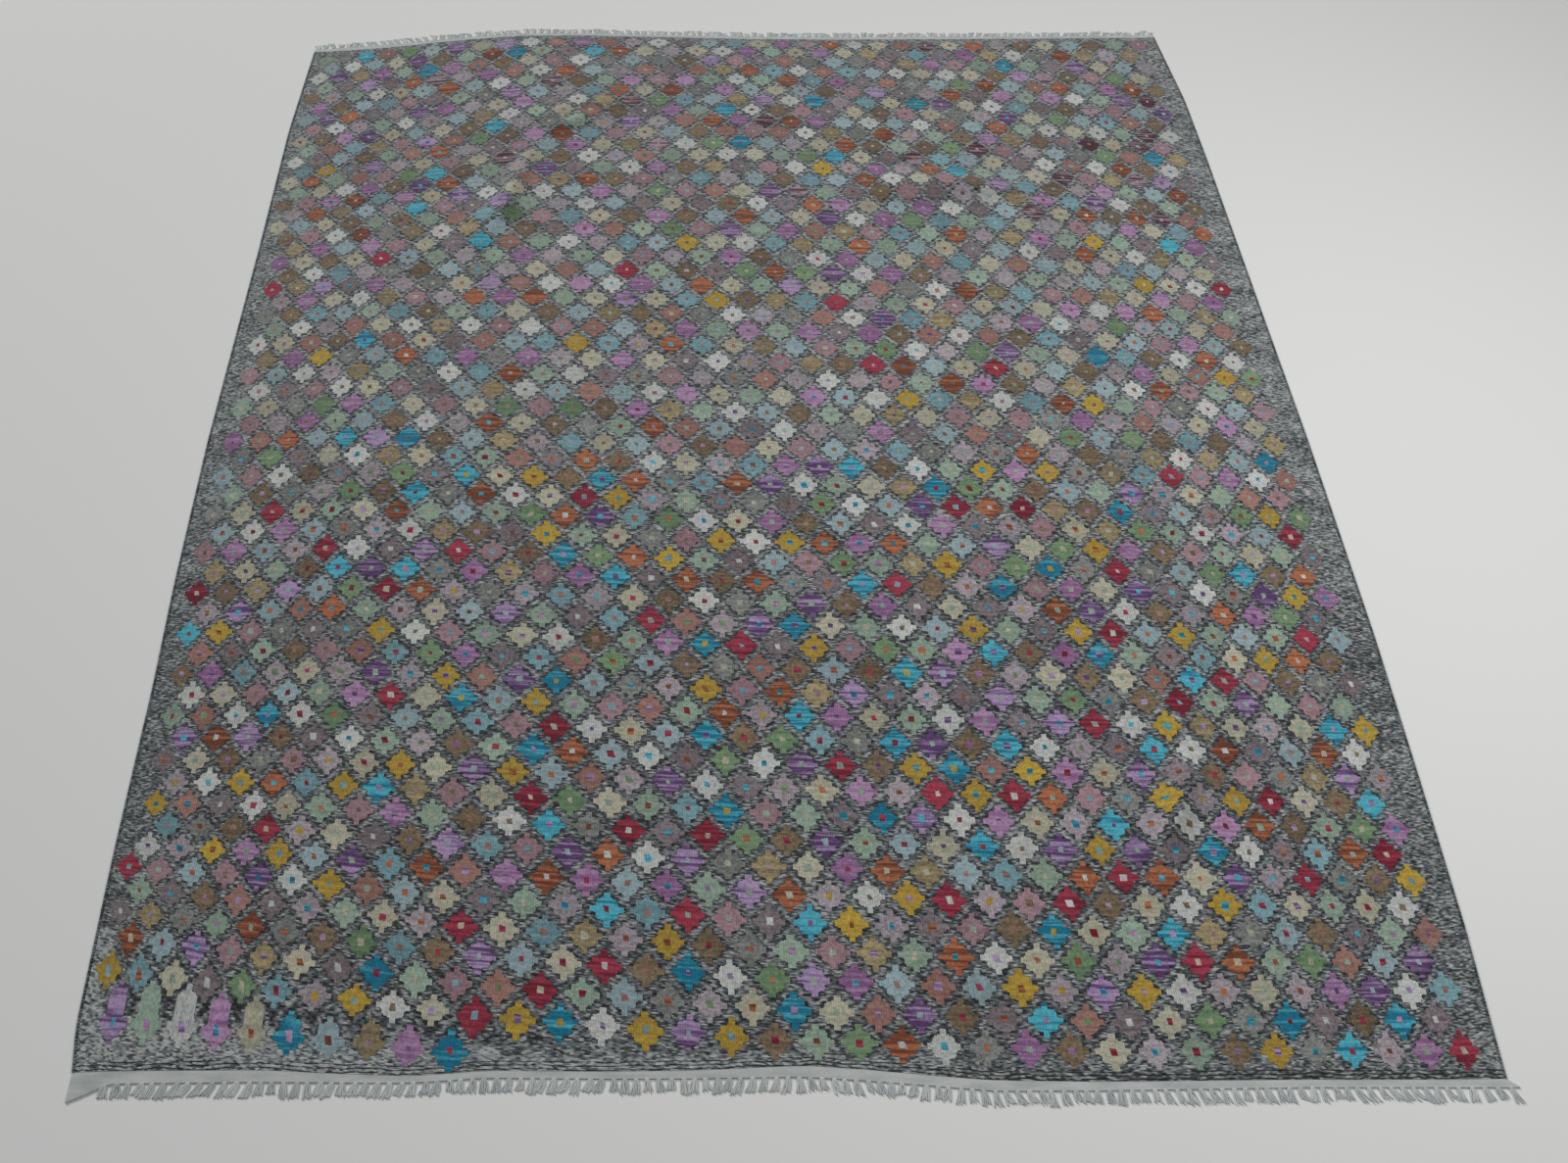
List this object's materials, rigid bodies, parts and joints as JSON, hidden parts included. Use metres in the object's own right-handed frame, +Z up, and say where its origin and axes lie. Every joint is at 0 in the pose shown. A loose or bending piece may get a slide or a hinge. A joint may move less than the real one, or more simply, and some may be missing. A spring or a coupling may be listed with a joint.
{
  "type": "kilim rug",
  "caption": "Large rectangular flat-woven wool rug with uneven edges and low folds, a plain cotton heading band and a short tasselled warp fringe at each end.",
  "frame": {"origin": "on the floor, under the middle of the rug's bounding box", "axes": "+Z up, +Y along the length from the near end to the far end, +X across the width"},
  "size_m": [2.5267, 3.3123, 0.019],
  "materials": {
    "heather_wool": "matt heathered charcoal and grey wool, flat woven",
    "bleached_cotton": "matt cream cotton, plain woven",
    "cotton_warp_yarn": "matt cream cotton yarn ends, tied in tassels"
  },
  "bodies": {
    "root": {"kilim_field": "heather_wool", "heading_near": "bleached_cotton", "heading_far": "bleached_cotton", "fringe_near": "cotton_warp_yarn", "fringe_far": "cotton_warp_yarn"}
  },
  "joints": []
}
